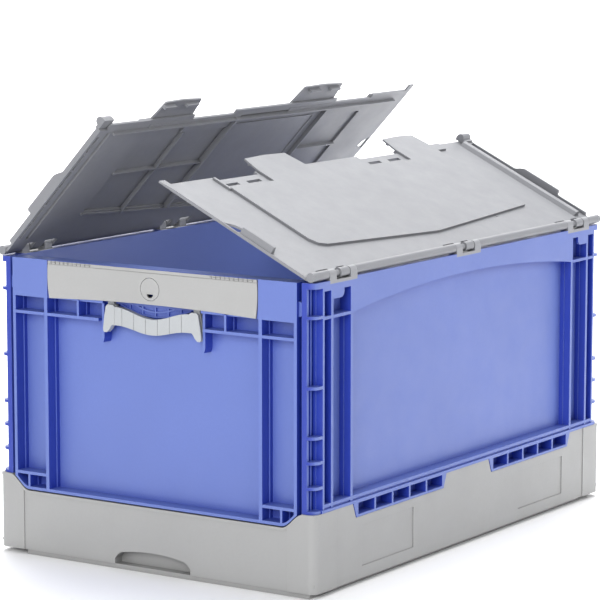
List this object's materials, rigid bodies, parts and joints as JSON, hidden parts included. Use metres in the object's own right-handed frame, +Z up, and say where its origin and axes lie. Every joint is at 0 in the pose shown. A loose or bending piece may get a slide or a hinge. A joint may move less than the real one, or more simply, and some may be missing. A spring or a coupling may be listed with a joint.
{
  "type": "collapsible storage crate",
  "caption": "Collapsible stacking crate: folding end walls with release grips, ribbed long walls, a tray base and a two-part hinged lid with tongues that interlock.",
  "frame": {"origin": "middle of the crate's footprint, on the ground below the foot ring", "axes": "+X along the long walls towards the right end wall, +Y from the front long wall to the back one, +Z up"},
  "size_m": [0.6, 0.4, 0.4796],
  "materials": {
    "wall_blue": "satin",
    "tray_grey": "satin",
    "lid_grey": "satin",
    "cover_grey": "satin",
    "grip_white": "satin",
    "clip_grey": "satin",
    "spring_steel": "polished"
  },
  "bodies": {
    "tray_and_long_walls": {"base_tray": "tray_grey", "front_long_wall": "wall_blue", "back_long_wall": "wall_blue", "front_left_lid_clip": "clip_grey", "front_middle_lid_clip": "clip_grey", "front_right_lid_clip": "clip_grey", "back_left_lid_clip": "clip_grey", "back_middle_lid_clip": "clip_grey", "back_right_lid_clip": "clip_grey"},
    "left_end_wall": {"left_end_wall": "wall_blue", "left_release_cover": "cover_grey", "left_cover_plug": "cover_grey", "left_grip_springs": "spring_steel"},
    "left_grip": {"left_grip": "grip_white"},
    "left_front_bolt": {"left_front_bolt": "wall_blue"},
    "left_back_bolt": {"left_back_bolt": "wall_blue"},
    "right_end_wall": {"right_end_wall": "wall_blue", "right_release_cover": "cover_grey", "right_cover_plug": "cover_grey", "right_grip_springs": "spring_steel"},
    "right_grip": {"right_grip": "grip_white"},
    "right_front_bolt": {"right_front_bolt": "wall_blue"},
    "right_back_bolt": {"right_back_bolt": "wall_blue"},
    "front_lid": {"front_lid": "lid_grey"},
    "back_lid": {"back_lid": "lid_grey"}
  },
  "joints": [
    {"name": "front_lid_hinge", "type": "hinge", "parent": "tray_and_long_walls", "child": "front_lid", "pos_m": [0, -0.1935, 0.3218], "axis": [1, 0, 0], "range_deg": [-25.8, 216.2]},
    {"name": "back_lid_hinge", "type": "hinge", "parent": "tray_and_long_walls", "child": "back_lid", "pos_m": [0, 0.1935, 0.3218], "axis": [-1, 0, 0], "range_deg": [-46.8, 195.2]},
    {"name": "left_end_wall_fold", "type": "hinge", "parent": "tray_and_long_walls", "child": "left_end_wall", "pos_m": [-0.2905, 0, 0.027], "axis": [0, 1, 0], "range_deg": [0, 90]},
    {"name": "left_grip_slide", "type": "slide", "parent": "left_end_wall", "child": "left_grip", "axis": [0, 0, 1], "range_m": [0, 0.007], "stiffness_N_per_m": 800, "springref_m": -0.01, "deforming": ["left_grip_springs"]},
    {"name": "left_front_bolt_slide", "type": "slide", "parent": "left_end_wall", "child": "left_front_bolt", "axis": [0, 1, 0], "range_m": [0, 0.0056]},
    {"name": "left_back_bolt_slide", "type": "slide", "parent": "left_end_wall", "child": "left_back_bolt", "axis": [0, -1, 0], "range_m": [0, 0.0056]},
    {"name": "right_end_wall_fold", "type": "hinge", "parent": "tray_and_long_walls", "child": "right_end_wall", "pos_m": [0.2905, 0, 0.027], "axis": [0, -1, 0], "range_deg": [0, 90]},
    {"name": "right_grip_slide", "type": "slide", "parent": "right_end_wall", "child": "right_grip", "axis": [0, 0, 1], "range_m": [0, 0.007], "stiffness_N_per_m": 800, "springref_m": -0.01, "deforming": ["right_grip_springs"]},
    {"name": "right_front_bolt_slide", "type": "slide", "parent": "right_end_wall", "child": "right_front_bolt", "axis": [0, 1, 0], "range_m": [0, 0.0056]},
    {"name": "right_back_bolt_slide", "type": "slide", "parent": "right_end_wall", "child": "right_back_bolt", "axis": [0, -1, 0], "range_m": [0, 0.0056]}
  ],
  "couplings": [
    {"joint": "left_front_bolt_slide", "follows": "left_grip_slide", "ratio": 0.8},
    {"joint": "left_back_bolt_slide", "follows": "left_grip_slide", "ratio": 0.8},
    {"joint": "right_front_bolt_slide", "follows": "right_grip_slide", "ratio": 0.8},
    {"joint": "right_back_bolt_slide", "follows": "right_grip_slide", "ratio": 0.8}
  ]
}
